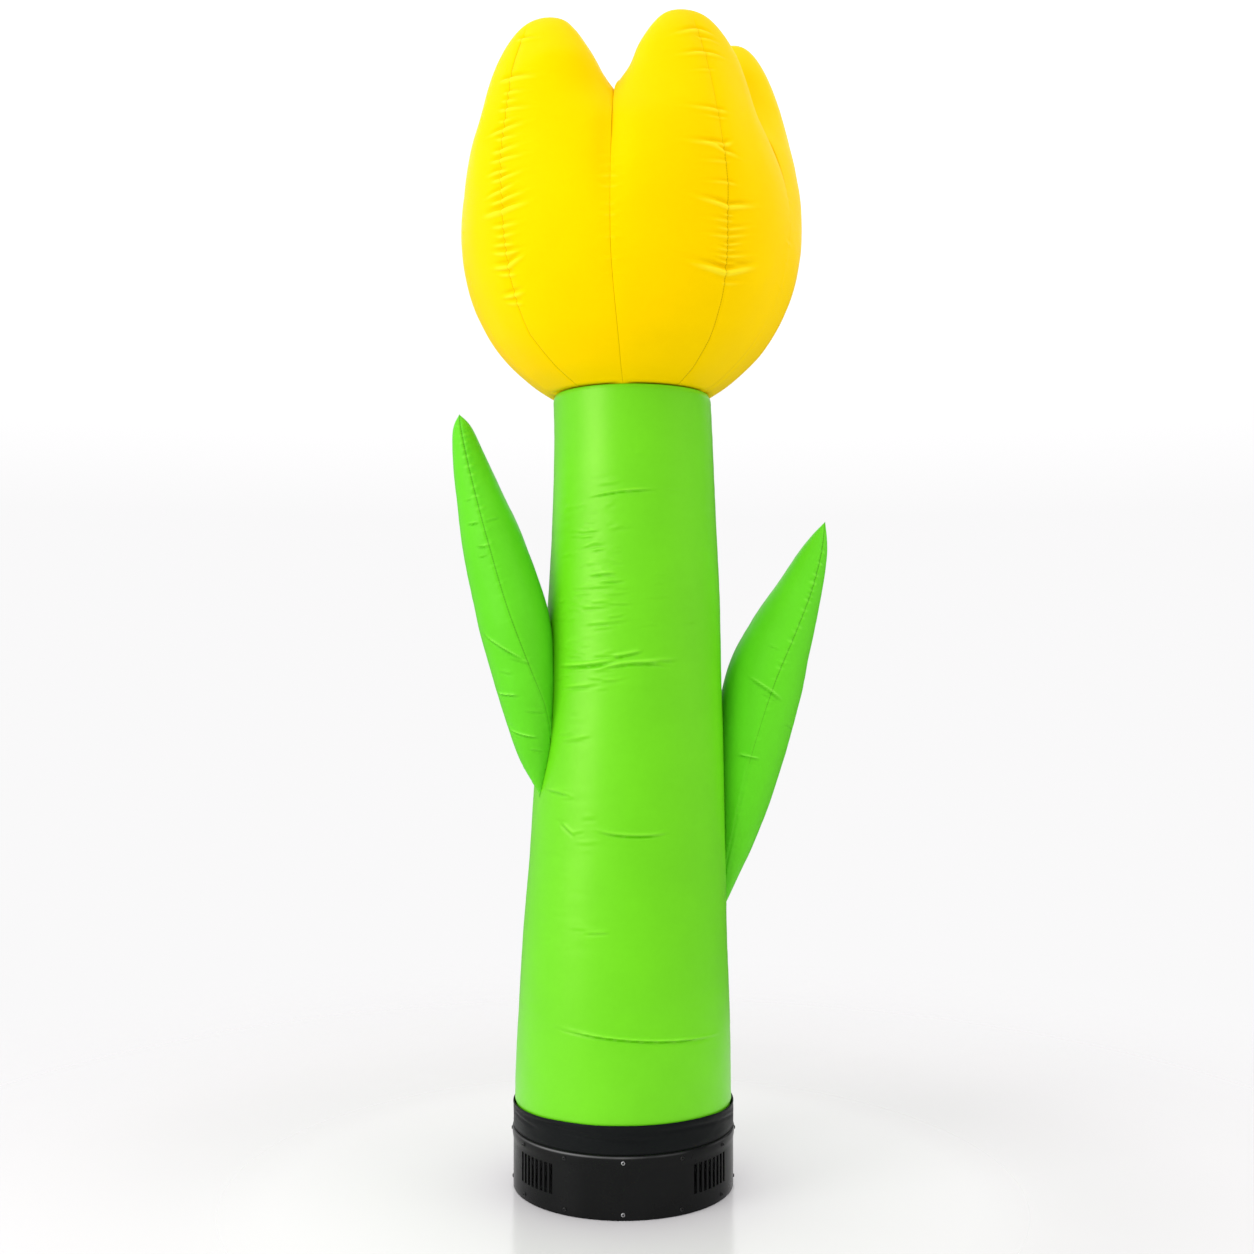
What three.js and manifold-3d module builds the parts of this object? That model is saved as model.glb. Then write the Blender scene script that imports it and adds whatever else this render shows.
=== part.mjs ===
// Inflatable tulip column: a round blower housing, a tapered air-filled stem with two leaves, and a head of
// five petals. Millimetres, +Z up, origin at the middle of the underside, the front faces -Y.
import * as THREE from 'three';
import { mergeVertices } from 'three/addons/utils/BufferGeometryUtils.js';
import Module from 'manifold-3d';

const wasm = await Module();
wasm.setup();

// Clearance between neighbouring pieces.
const GAP = 0.3;

// Blower housing: a bent band with a rolled top edge, screwed to the edges of two round plates.
const HOUSING_SIDES = 72;
const HOUSING_HEIGHT = 122;
const BAND_RADIUS = 225;
const BAND_INNER_RADIUS = 223;
const BAND_FOOT = 1;
const ROLL_PROUD = 2;
const ROLL_START = 100;
const ROLL_EASE = 3;
const PLATE_THICKNESS = 24;

// Vents: groups of upright slots in the band.
const VENT_AZIMUTHS = [-129.5, -50.5, 50.5, 129.5];
const VENT_SLOTS = 8;
const VENT_PITCH_DEG = 3.4;
const SLOT_WIDTH = 8;
const SLOT_LOW = 35;
const SLOT_HIGH = 93;
const SLOT_CUT_DEPTH = 20;

// Screws: round heads with a socket, in two rows through the band.
const SCREWS_PER_ROW = 12;
const SCREW_SIDES = 8;
const SCREW_RADIUS = 4;
const SCREW_HEIGHT = 2.4;
const SCREW_TAPER = 0.8;
const SOCKET_RADIUS = 2;
const SOCKET_DEPTH = 1.2;

// Stem: height, radius and sideways lean of its centre.
const STEM_SIDES = 48;
const STEM_RINGS = 18;
const STEM_ROWS = [
  { z: HOUSING_HEIGHT + GAP, radius: 222.4, lean: 0 },
  { z: 267, radius: 219.8, lean: 0 },
  { z: 472, radius: 211.6, lean: 3.5 },
  { z: 677, radius: 201.8, lean: 8.2 },
  { z: 882, radius: 192.9, lean: 13.5 },
  { z: 1090, radius: 183.0, lean: 19 },
  { z: 1298, radius: 173.0, lean: 22 },
  { z: 1506, radius: 164.6, lean: 21 },
  { z: 1615, radius: 163.0, lean: 17.5 },
];

// Cuff: a cloth sleeve around the foot of the stem.
const CUFF_ROWS = [
  { z: 124, radius: 224.4 },
  { z: 132, radius: 225.4 },
  { z: 158, radius: 225.2 },
  { z: 179, radius: 225.0 },
];

// Depth of a sewn channel in a slim part, as a share of its half thickness.
const SLIM_SEAM_SHARE = 0.08;

// Leaves, from the lower tip to the upper tip: centre line, half width and the heading of the sewn edge.
const LEAF_RINGS = 18;
const LEAF_RING_ANGLES = [0, 7, 25, 46, 68, 90, 112, 134, 155, 173];
const LEAF_SEAM_DEPTH = 2.5;
const LEAF_SEAM_RATIO = 1.06;
const LEFT_LEAF_ROWS = [
  { x: -164, y: -78, z: 790, half: 0, turn: 80 },
  { x: -179, y: -85, z: 889, half: 32, turn: 70 },
  { x: -188.5, y: -86, z: 955, half: 47, turn: 50 },
  { x: -200, y: -85, z: 1035, half: 61, turn: 22 },
  { x: -221.5, y: -79, z: 1149, half: 72, turn: 0 },
  { x: -261, y: -62, z: 1289, half: 64, turn: -8 },
  { x: -293, y: -50, z: 1397, half: 48, turn: -11 },
  { x: -316, y: -40, z: 1480, half: 33, turn: -12 },
  { x: -331.5, y: -34, z: 1543, half: 18.5, turn: -12 },
  { x: -338.6, y: -30, z: 1576, half: 0, turn: -12 },
];
const RIGHT_LEAF_ROWS = [
  { x: 204, y: 30, z: 545, half: 0, turn: 40 },
  { x: 212, y: 35, z: 620, half: 24.5, turn: 40 },
  { x: 230, y: 39, z: 700, half: 43, turn: 38 },
  { x: 249, y: 43, z: 795, half: 61, turn: 36 },
  { x: 270, y: 51, z: 905, half: 74.5, turn: 33 },
  { x: 300, y: 62, z: 1027, half: 78, turn: 30 },
  { x: 333.5, y: 75, z: 1124, half: 67.5, turn: 29 },
  { x: 376, y: 90, z: 1220, half: 47, turn: 29 },
  { x: 408, y: 99, z: 1300, half: 27, turn: 29 },
  { x: 434, y: 110, z: 1368, half: 0, turn: 29 },
];

// Petals, from the neck to the tip: outermost reach of the crown, half thickness and half width of the pod.
const HEAD_X = 14;
const NECK_Z = 1615 + GAP;
const PETAL_RINGS = 20;
const PETAL_RING_ANGLES = [0, 3, 12, 24, 38, 54, 72, 90, 110, 132, 156];
const MIDRIB_DEPTH = 3;
const PETAL_ROWS = [
  { z: NECK_Z, crown: 163, thick: 163, wide: 163 },
  { z: 1653, crown: 218, thick: 208, wide: 208 },
  { z: 1720, crown: 283, thick: 258, wide: 258 },
  { z: 1810, crown: 332, thick: 288, wide: 288 },
  { z: 1905, crown: 356, thick: 297, wide: 297 },
  { z: 2000, crown: 360, thick: 280, wide: 280 },
  { z: 2080, crown: 351, thick: 226, wide: 236 },
  { z: 2150, crown: 336, thick: 150, wide: 172 },
  { z: 2215, crown: 316, thick: 98, wide: 124 },
  { z: 2270, crown: 294, thick: 74, wide: 99 },
  { z: 2315, crown: 270, thick: 52, wide: 72 },
  { z: 2341, crown: 246, thick: 31, wide: 44 },
  { z: 2350, crown: 218, thick: 0, wide: 0 },
];
const PETAL_SPAN_DEG = 72;
const PETAL_ROOM_DEPTH = 500;
const PETAL_ROOM_HEIGHT = 1000;
const BELLY_Z = 1990;
const TIP_Z = 2350;
const PETALS = [
  { azimuth: -41.2, rise: -24, reach: 40 },
  { azimuth: 30.8, rise: -3, reach: -2 },
  { azimuth: 102.8, rise: 19, reach: 3 },
  { azimuth: 174.8, rise: 8, reach: 0 },
  { azimuth: -113.2, rise: -6, reach: 14 },
];

const MATERIALS = {
  petalCloth: new THREE.MeshStandardMaterial({ color: 0xffe100, roughness: 0.5, metalness: 0 }),
  stemCloth: new THREE.MeshStandardMaterial({ color: 0x72de26, roughness: 0.5, metalness: 0 }),
  leafCloth: new THREE.MeshStandardMaterial({ color: 0x5fd42c, roughness: 0.5, metalness: 0 }),
  cuffCloth: new THREE.MeshStandardMaterial({ color: 0x232427, roughness: 0.75, metalness: 0 }),
  housing: new THREE.MeshStandardMaterial({ color: 0x222425, roughness: 0.4, metalness: 0 }),
  plate: new THREE.MeshStandardMaterial({ color: 0x161717, roughness: 0.8, metalness: 0 }),
  screw: new THREE.MeshStandardMaterial({ color: 0x9a9c9e, roughness: 0.3, metalness: 1 }),
};

const radians = THREE.MathUtils.degToRad;

// The turn around Z that takes +X to a heading counted from the front towards +X.
function heading(azimuth) {
  return radians(azimuth - 90);
}

function solidOf(geometry) {
  const bare = geometry.clone();
  bare.deleteAttribute('normal');
  bare.deleteAttribute('uv');
  const merged = mergeVertices(bare);
  const vertProperties = new Float32Array(merged.attributes.position.array);
  const triVerts = new Uint32Array(merged.index.array);
  return new wasm.Manifold(new wasm.Mesh({ numProp: 3, vertProperties, triVerts }));
}

function geometryOf(solid) {
  const { vertProperties, triVerts } = solid.getMesh();
  const geometry = new THREE.BufferGeometry();
  geometry.setAttribute('position', new THREE.BufferAttribute(new Float32Array(vertProperties), 3));
  geometry.setIndex(new THREE.BufferAttribute(new Uint32Array(triVerts), 1));
  geometry.computeVertexNormals();
  return geometry;
}

function pieceOf(name, geometry, material) {
  const mesh = new THREE.Mesh(geometry, material);
  mesh.name = name;
  return mesh;
}

// A profile of [radius, height] points turned around Z, with the middle of a facet at the front.
function turned(profile, sides) {
  const points = profile.map(([radius, z]) => new THREE.Vector2(radius, z));
  return new THREE.LatheGeometry(points, sides, Math.PI / sides).rotateX(Math.PI / 2);
}

function disc(radius, low, high, sides) {
  return turned([[0, low], [radius, low], [radius, high], [0, high]], sides);
}

// A closed skin over a row of rings with equal point counts; each end closes in a fan to its tip.
function loft(rings, startTip, endTip) {
  const sides = rings[0].length;
  const points = [...rings.flat(), startTip, endTip];
  const start = points.length - 2;
  const end = points.length - 1;
  const lastRing = (rings.length - 1) * sides;
  const faces = [];
  for (let j = 0; j < sides; j += 1) {
    const next = (j + 1) % sides;
    faces.push(start, next, j);
    for (let ring = 0; ring < lastRing; ring += sides) {
      faces.push(ring + j, ring + next, ring + sides + j);
      faces.push(ring + next, ring + sides + next, ring + sides + j);
    }
    faces.push(end, lastRing + j, lastRing + next);
  }
  return new THREE.BufferGeometry().setFromPoints(points).setIndex(faces);
}

// Smooth value of one column of a table, at a place from 0 (first row) to 1 (last row).
function smooth(rows, column, place) {
  const at = THREE.MathUtils.clamp(place, 0, 1) * (rows.length - 1);
  const row = Math.min(Math.floor(at), rows.length - 2);
  const value = (k) => rows[THREE.MathUtils.clamp(k, 0, rows.length - 1)][column];
  const [before, from, to, after] = [value(row - 1), value(row), value(row + 1), value(row + 2)];
  const t = at - row;
  const startSlope = (to - before) / 2;
  const endSlope = (after - from) / 2;
  const cubic = 2 * from - 2 * to + startSlope + endSlope;
  const square = 3 * to - 3 * from - 2 * startSlope - endSlope;
  return ((cubic * t + square) * t + startSlope) * t + from;
}

// A tapered tube with flat ends; each ring of points is shifted sideways by the lean at its height.
function stem(extra = 0) {
  const places = Array.from({ length: STEM_RINGS }, (_, k) => k / (STEM_RINGS - 1));
  const rings = places.map((place) => ({
    radius: smooth(STEM_ROWS, 'radius', place) + extra,
    z: smooth(STEM_ROWS, 'z', place),
    lean: smooth(STEM_ROWS, 'lean', place),
  }));
  const [foot, top] = [rings[0], rings.at(-1)];
  const outline = [{ ...foot, radius: 0 }, ...rings, { ...top, radius: 0 }];
  const geometry = turned(outline.map(({ radius, z }) => [radius, z]), STEM_SIDES);
  const { position } = geometry.attributes;
  for (let k = 0; k < position.count; k += 1) {
    position.setX(k, position.getX(k) + outline[k % outline.length].lean);
  }
  return geometry;
}

function cuff() {
  const [low, high] = [CUFF_ROWS[0], CUFF_ROWS.at(-1)];
  const wall = CUFF_ROWS.map(({ radius, z }) => [radius, z]);
  const block = turned([[0, low.z], ...wall, [0, high.z]], STEM_SIDES);
  return geometryOf(solidOf(block).subtract(solidOf(stem(GAP))));
}

function leafCentre(rows, place) {
  return new THREE.Vector3(smooth(rows, 'x', place), smooth(rows, 'y', place), smooth(rows, 'z', place));
}

// One ring of a leaf, square to its centre line, with a shallow channel at each of its two sewn edges.
function leafRing(rows, place) {
  const centre = leafCentre(rows, place);
  const step = 0.01;
  const along = leafCentre(rows, place + step).sub(leafCentre(rows, place - step)).normalize();
  const turn = radians(smooth(rows, 'turn', place));
  const seam = new THREE.Vector3(Math.sin(turn), -Math.cos(turn), 0);
  seam.addScaledVector(along, -seam.dot(along)).normalize();
  const side = along.clone().cross(seam);
  const half = smooth(rows, 'half', place);
  const angles = [...LEAF_RING_ANGLES, ...LEAF_RING_ANGLES.map((angle) => angle + 180)];
  return angles.map((angle) => {
    const channel = angle % 180 === 0 ? Math.min(LEAF_SEAM_DEPTH, half * SLIM_SEAM_SHARE) : 0;
    const across = Math.cos(radians(angle)) * (half * LEAF_SEAM_RATIO - channel);
    const out = Math.sin(radians(angle)) * half;
    return centre.clone().addScaledVector(seam, across).addScaledVector(side, out);
  });
}

// A pointed pod, flattened where it is sewn against the stem.
function leaf(rows) {
  const rings = [];
  for (let k = 1; k < LEAF_RINGS; k += 1) {
    rings.push(leafRing(rows, k / LEAF_RINGS));
  }
  const pod = loft(rings, leafCentre(rows, 0), leafCentre(rows, 1));
  return geometryOf(solidOf(pod).subtract(solidOf(stem(GAP))));
}

function petalCentre(place, { rise, reach }) {
  const z = smooth(PETAL_ROWS, 'z', place);
  const weight = THREE.MathUtils.smoothstep(z, BELLY_Z, TIP_Z);
  const x = smooth(PETAL_ROWS, 'crown', place) - smooth(PETAL_ROWS, 'thick', place);
  return new THREE.Vector3(x + reach * weight, 0, z + rise * weight);
}

// One ring of a petal pod along +X, with a shallow channel for the midrib at its crown.
function petalRing(place, shape) {
  const centre = petalCentre(place, shape);
  const thick = smooth(PETAL_ROWS, 'thick', place);
  const wide = smooth(PETAL_ROWS, 'wide', place);
  const back = PETAL_RING_ANGLES.slice(1).reverse().map((angle) => 360 - angle);
  return [...PETAL_RING_ANGLES, 180, ...back].map((angle) => {
    const channel = angle === 0 ? Math.min(MIDRIB_DEPTH, thick * SLIM_SEAM_SHARE) : 0;
    const x = (thick - channel) * Math.cos(radians(angle));
    const y = wide * Math.sin(radians(angle));
    return new THREE.Vector3(x, y, 0).add(centre);
  });
}

// The room that one petal may fill, between the upright planes where it presses against its neighbours.
function petalRoom() {
  const spread = radians(PETAL_SPAN_DEG / 2);
  const corner = GAP / 2 / Math.sin(spread);
  const across = PETAL_ROOM_DEPTH * Math.tan(spread);
  const outline = new THREE.Shape();
  outline.moveTo(corner, 0);
  outline.lineTo(corner + PETAL_ROOM_DEPTH, -across);
  outline.lineTo(corner + PETAL_ROOM_DEPTH, across);
  outline.closePath();
  const room = new THREE.ExtrudeGeometry(outline, { depth: PETAL_ROOM_HEIGHT, bevelEnabled: false });
  return room.translate(0, 0, NECK_Z - 1);
}

function petal(shape) {
  const rings = [];
  for (let k = 0; k < PETAL_RINGS; k += 1) {
    rings.push(petalRing(k / PETAL_RINGS, shape));
  }
  const pod = loft(rings, petalCentre(0, shape), petalCentre(1, shape));
  return geometryOf(solidOf(pod).intersect(solidOf(petalRoom())));
}

function slot(azimuth) {
  const box = new THREE.BoxGeometry(SLOT_CUT_DEPTH, SLOT_WIDTH, SLOT_HIGH - SLOT_LOW);
  return box.translate(BAND_RADIUS, 0, (SLOT_LOW + SLOT_HIGH) / 2).rotateZ(heading(azimuth));
}

function housingBand() {
  const proud = BAND_RADIUS + ROLL_PROUD;
  const foot = [BAND_INNER_RADIUS, BAND_FOOT];
  let band = solidOf(turned([
    foot,
    [BAND_RADIUS, BAND_FOOT],
    [BAND_RADIUS, ROLL_START],
    [proud, ROLL_START + ROLL_EASE],
    [proud, HOUSING_HEIGHT - ROLL_EASE],
    [proud - ROLL_EASE / 2, HOUSING_HEIGHT],
    [BAND_INNER_RADIUS, HOUSING_HEIGHT],
    foot,
  ], HOUSING_SIDES));
  for (const azimuth of VENT_AZIMUTHS) {
    for (let k = 0; k < VENT_SLOTS; k += 1) {
      const fromMiddle = (k - (VENT_SLOTS - 1) / 2) * VENT_PITCH_DEG;
      band = band.subtract(solidOf(slot(azimuth + fromMiddle)));
    }
  }
  return geometryOf(band);
}

function screwHead() {
  return turned([
    [0, 0],
    [SCREW_RADIUS, 0],
    [SCREW_RADIUS - SCREW_TAPER, SCREW_HEIGHT],
    [SOCKET_RADIUS, SCREW_HEIGHT],
    [SOCKET_RADIUS, SCREW_HEIGHT - SOCKET_DEPTH],
    [0, SCREW_HEIGHT - SOCKET_DEPTH],
  ], SCREW_SIDES);
}

// A row of screws around the band, each on the flat of a facet.
function screwRow(rowName, z, bandRadius) {
  const row = new THREE.Group();
  row.position.z = z;
  for (let k = 0; k < SCREWS_PER_ROW; k += 1) {
    const spoke = new THREE.Group();
    spoke.rotation.z = heading((360 * k) / SCREWS_PER_ROW);
    const screw = pieceOf(`${rowName}_${String(k + 1).padStart(2, '0')}`, screwHead(), MATERIALS.screw);
    screw.position.x = bandRadius * Math.cos(Math.PI / HOUSING_SIDES) + GAP;
    screw.rotation.y = Math.PI / 2;
    spoke.add(screw);
    row.add(spoke);
  }
  return row;
}

function housing() {
  const group = new THREE.Group();
  const plate = disc(BAND_INNER_RADIUS - GAP, 0, PLATE_THICKNESS, HOUSING_SIDES);
  const topPlate = pieceOf('top_plate', plate.clone(), MATERIALS.plate);
  topPlate.position.z = HOUSING_HEIGHT - PLATE_THICKNESS;
  const screwEdge = PLATE_THICKNESS / 2;
  group.add(
    pieceOf('base_plate', plate, MATERIALS.plate),
    topPlate,
    pieceOf('housing_band', housingBand(), MATERIALS.housing),
    screwRow('screw_bottom', screwEdge, BAND_RADIUS),
    screwRow('screw_top', HOUSING_HEIGHT - screwEdge, BAND_RADIUS + ROLL_PROUD),
  );
  return group;
}

function flowerHead() {
  const group = new THREE.Group();
  group.position.x = HEAD_X;
  PETALS.forEach((shape, k) => {
    const mesh = pieceOf(`petal_${k + 1}`, petal(shape), MATERIALS.petalCloth);
    mesh.rotation.z = heading(shape.azimuth);
    group.add(mesh);
  });
  return group;
}

const column = new THREE.Group();
column.add(
  housing(),
  pieceOf('stem', stem(), MATERIALS.stemCloth),
  pieceOf('stem_cuff', cuff(), MATERIALS.cuffCloth),
  pieceOf('leaf_left', leaf(LEFT_LEAF_ROWS), MATERIALS.leafCloth),
  pieceOf('leaf_right', leaf(RIGHT_LEAF_ROWS), MATERIALS.leafCloth),
  flowerHead(),
);

export default column;
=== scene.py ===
"""Looks of the inflatable tulip column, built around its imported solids. Metres, +Z up, the front faces -Y."""

import math

import bpy
import numpy as np
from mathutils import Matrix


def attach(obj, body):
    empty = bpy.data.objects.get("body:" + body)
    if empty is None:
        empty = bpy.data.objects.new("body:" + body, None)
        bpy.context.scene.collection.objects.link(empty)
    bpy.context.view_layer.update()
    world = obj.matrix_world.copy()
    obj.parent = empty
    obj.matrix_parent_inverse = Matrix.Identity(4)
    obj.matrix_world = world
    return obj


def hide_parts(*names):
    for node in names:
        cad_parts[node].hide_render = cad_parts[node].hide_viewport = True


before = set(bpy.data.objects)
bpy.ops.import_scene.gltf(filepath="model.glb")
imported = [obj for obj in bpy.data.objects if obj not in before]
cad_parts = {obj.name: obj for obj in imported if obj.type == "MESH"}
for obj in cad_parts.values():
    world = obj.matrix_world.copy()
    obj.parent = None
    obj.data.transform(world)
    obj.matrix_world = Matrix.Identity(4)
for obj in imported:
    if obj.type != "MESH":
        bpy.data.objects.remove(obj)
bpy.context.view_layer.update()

MM = 0.001
# Room between pieces that touch.
GAP, PETAL_GAP = 0.3 * MM, 0.1 * MM
# Height of a crease that gets the full painted shade in its trough, and the full painted highlight on its lip,
# in the cloth's colour.
FOLD_FULL = 3 * MM
# Steeper corners of cloth and of metal stay crisp.
SKIN_SHARP_DEG, METAL_SHARP_DEG = 60, 40
# Distances: far from any seam, beyond every piece, and too small to matter.
NO_SEAM, FAR, TINY = 1.0, 9.0, 1e-6
# Steps along paths, up the stem and for gathered places, and cells of the noise.
PATH_STEPS, STEM_STEPS, FINE_STEPS, LATTICE = 800, 400, 6000, 64
# Creases: share of the length where an end fades, and shares of a row's half width and lip in use.
CREASE_END, CREASE_WIDTH, CREASE_LIP = 0.35, 0.8, 1.2
# The lip beside a trough: its distance and its width, in half widths of the trough.
LIP_OFFSET, LIP_WIDTH = 1.9, 1.2
# Puckers: shares of a row's reach and depth in use, and the share that is lost on the seam.
PUCKER_REACH, PUCKER_TROUGH, PUCKER_LIP, PUCKER_SEAM_LOSS = 0.9, 0.85, 0.9, 0.4
# First seeds of what is uneven and not placed by hand.
PETAL_SEED, GATHER_SEED, PETAL_SWELL_SEED, PETAL_RIPPLE_SEED = 30, 40, 60, 70
STEM_SEED, STEM_RIPPLE_SEED, STEM_SWELL_SEED, CUFF_SEED, RIM_HIGHLIGHT_SEED = 5, 12, 13, 21, 31


def table(columns, *rows):
    """Rows of numbers under named columns, as one array for each column."""
    return dict(zip(columns.split(), np.array(rows, float).T))


def rows_of(values):
    """The rows of a table, each as a dictionary."""
    return [dict(zip(values, row)) for row in zip(*values.values())]


# Stem: height, radius and sideways lean of its centre.
STEM_LOW, STEM_HIGH = 0.1223, 1.615
STEM_ROWS = table(
    "z radius lean",
    (STEM_LOW, 0.2224, 0),
    (0.267, 0.2198, 0),
    (0.472, 0.2116, 0.0035),
    (0.677, 0.2018, 0.0082),
    (0.882, 0.1929, 0.0135),
    (1.09, 0.183, 0.019),
    (1.298, 0.173, 0.022),
    (1.506, 0.1646, 0.021),
    (STEM_HIGH, 0.163, 0.0175),
)
CUFF_LOW, CUFF_HIGH = 0.124, 0.179

# Leaves, from the lower tip to the upper tip: centre line, half width and heading of the sewn edge.
LEAF_COLUMNS = "x y z half turn"
LEFT_LEAF = table(
    LEAF_COLUMNS,
    (-0.164, -0.078, 0.79, 0, 80),
    (-0.179, -0.085, 0.889, 0.032, 70),
    (-0.1885, -0.086, 0.955, 0.047, 50),
    (-0.2, -0.085, 1.035, 0.061, 22),
    (-0.2215, -0.079, 1.149, 0.072, 0),
    (-0.261, -0.062, 1.289, 0.064, -8),
    (-0.293, -0.05, 1.397, 0.048, -11),
    (-0.316, -0.04, 1.48, 0.033, -12),
    (-0.3315, -0.034, 1.543, 0.0185, -12),
    (-0.3386, -0.03, 1.576, 0, -12),
)
RIGHT_LEAF = table(
    LEAF_COLUMNS,
    (0.204, 0.03, 0.545, 0, 40),
    (0.212, 0.035, 0.62, 0.0245, 40),
    (0.23, 0.039, 0.7, 0.043, 38),
    (0.249, 0.043, 0.795, 0.061, 36),
    (0.27, 0.051, 0.905, 0.0745, 33),
    (0.2975, 0.062, 1.027, 0.0805, 30),
    (0.3335, 0.075, 1.124, 0.0675, 29),
    (0.376, 0.09, 1.22, 0.047, 29),
    (0.408, 0.099, 1.3, 0.027, 29),
    (0.434, 0.11, 1.368, 0, 29),
)
LEAF_SEAM_RATIO = 1.06

# Petals, from the neck to the tip: outermost reach of the crown, half thickness and half width of the pod.
HEAD_X = 0.014
NECK_Z = 1.6153
PETAL_ROWS = table(
    "z crown thick wide",
    (NECK_Z, 0.163, 0.163, 0.163),
    (1.653, 0.218, 0.208, 0.208),
    (1.72, 0.283, 0.258, 0.258),
    (1.81, 0.332, 0.288, 0.288),
    (1.905, 0.356, 0.297, 0.297),
    (2, 0.36, 0.28, 0.28),
    (2.08, 0.351, 0.226, 0.232),
    (2.15, 0.336, 0.15, 0.167),
    (2.215, 0.316, 0.098, 0.13),
    (2.27, 0.294, 0.074, 0.106),
    (2.315, 0.27, 0.052, 0.075),
    (2.341, 0.246, 0.031, 0.044),
    (2.35, 0.218, 0, 0),
)
BELLY_Z, TIP_Z = 1.990, 2.350
PETAL_HALF_SPAN = math.radians(36)
PETALS = table(
    "azimuth rise reach",
    (-41.2, -0.024, 0.04),
    (30.8, -0.003, -0.002),
    (102.8, 0.019, 0.003),
    (174.8, 0.008, 0),
    (-113.2, -0.006, 0.014),
)

# How far the midrib seam of each front petal wanders sideways (mm), by height.
LEFT_MIDRIB = table(
    "z aside",
    (1.615, 4), (1.65, -10), (1.706, -25), (1.776, -24), (1.86, -19), (1.95, -17),
    (2.034, -21), (2.115, -11), (2.165, -6), (2.2, -7), (2.27, 1),
)
RIGHT_MIDRIB = table(
    "z aside",
    (1.615, 12), (1.645, 21), (1.691, 25), (1.757, 21), (1.792, 18), (1.902, 3),
    (1.967, 1), (2.046, -7), (2.13, -12), (2.266, -16),
)
PLAIN_MIDRIB = table("z aside", (1.615, 0), (2.300, 0))

# Puckers across a midrib: height, reach to each side, depth and half width (mm),
# and rise per metre to the right on each side of the seam.
PUCKER_COLUMNS = "z right left depth width right_slope left_slope"
LEFT_PUCKERS = table(
    PUCKER_COLUMNS,
    (2.274, 30, 10, 3.6, 3.6, -0.24, -0.1),
    (2.192, 54, 22, 5, 4.2, -0.14, 0),
    (2.163, 38, 10, 3.2, 3.4, -0.17, -0.1),
    (2.147, 30, 12, 3, 3.2, -0.2, -0.1),
    (2.13, 54, 16, 3.6, 3.4, -0.15, -0.1),
    (2.108, 26, 12, 2.6, 3.2, -0.1, 0),
    (2.091, 46, 30, 4.8, 3.8, 0.02, 0.1),
    (2.074, 40, 14, 3.6, 3.4, -0.08, -0.1),
    (2.051, 44, 18, 4.6, 3.6, 0, 0),
    (2.033, 52, 20, 4.6, 3.4, -0.04, 0),
    (2.012, 26, 30, 4.2, 3.6, -0.2, 0.08),
    (1.995, 48, 20, 4.8, 3.4, 0.06, 0),
    (1.973, 34, 36, 4.4, 3.4, 0.12, 0.14),
    (1.954, 52, 24, 5, 3.6, 0.09, 0.05),
    (1.936, 56, 44, 6, 4.6, 0.06, 0),
    (1.906, 38, 26, 4, 3.4, -0.05, -0.08),
    (1.888, 32, 18, 3.6, 3.2, -0.04, -0.08),
    (1.872, 26, 28, 3.8, 3.2, -0.16, -0.08),
    (1.856, 40, 32, 4.2, 3.4, -0.06, -0.16),
    (1.833, 40, 36, 5.2, 4.2, 0.26, -0.13),
    (1.817, 20, 28, 3.4, 3.2, -0.1, -0.18),
    (1.782, 26, 32, 4.2, 3.6, 0.03, -0.03),
    (1.766, 16, 30, 2.8, 3.2, -0.1, -0.18),
)
RIGHT_PUCKERS = table(
    PUCKER_COLUMNS,
    (2.292, 26, 40, 4.2, 4.2, -0.26, 0.32),
    (2.27, 30, 8, 2.8, 3.4, -0.1, 0.1),
    (2.237, 36, 42, 4, 3.8, -0.06, 0.18),
    (2.198, 10, 32, 1.6, 3, 0.1, 0.2),
    (2.114, 18, 50, 3.6, 3.6, -0.06, 0.02),
    (2.098, 14, 30, 2, 2.8, -0.02, 0.06),
    (2.046, 16, 60, 4.8, 4, 0.34, 0.05),
    (2.032, 26, 30, 3.8, 3.4, -0.24, -0.3),
    (2.012, 8, 48, 2, 3.2, 0.16, 0.13),
    (1.972, 18, 40, 2.6, 2.8, -0.14, 0.13),
    (1.929, 54, 56, 5, 4, 0.18, -0.12),
    (1.911, 12, 12, 2.8, 2.6, 0, 0),
    (1.901, 12, 38, 2.4, 2.8, 0.1, 0.05),
    (1.886, 48, 28, 2.6, 2.8, 0.22, 0),
    (1.873, 46, 42, 2.8, 2.8, 0.21, 0.06),
    (1.858, 32, 14, 3.2, 2.6, 0.25, 0.1),
    (1.849, 20, 28, 2.4, 2.6, 0.18, 0),
    (1.838, 50, 30, 2.8, 2.8, 0.18, 0.06),
    (1.826, 44, 30, 3, 3, 0.03, -0.09),
    (1.814, 58, 60, 6.6, 4.8, 0.28, -0.1),
    (1.792, 40, 10, 2, 3.2, 0.14, 0),
)

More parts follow.
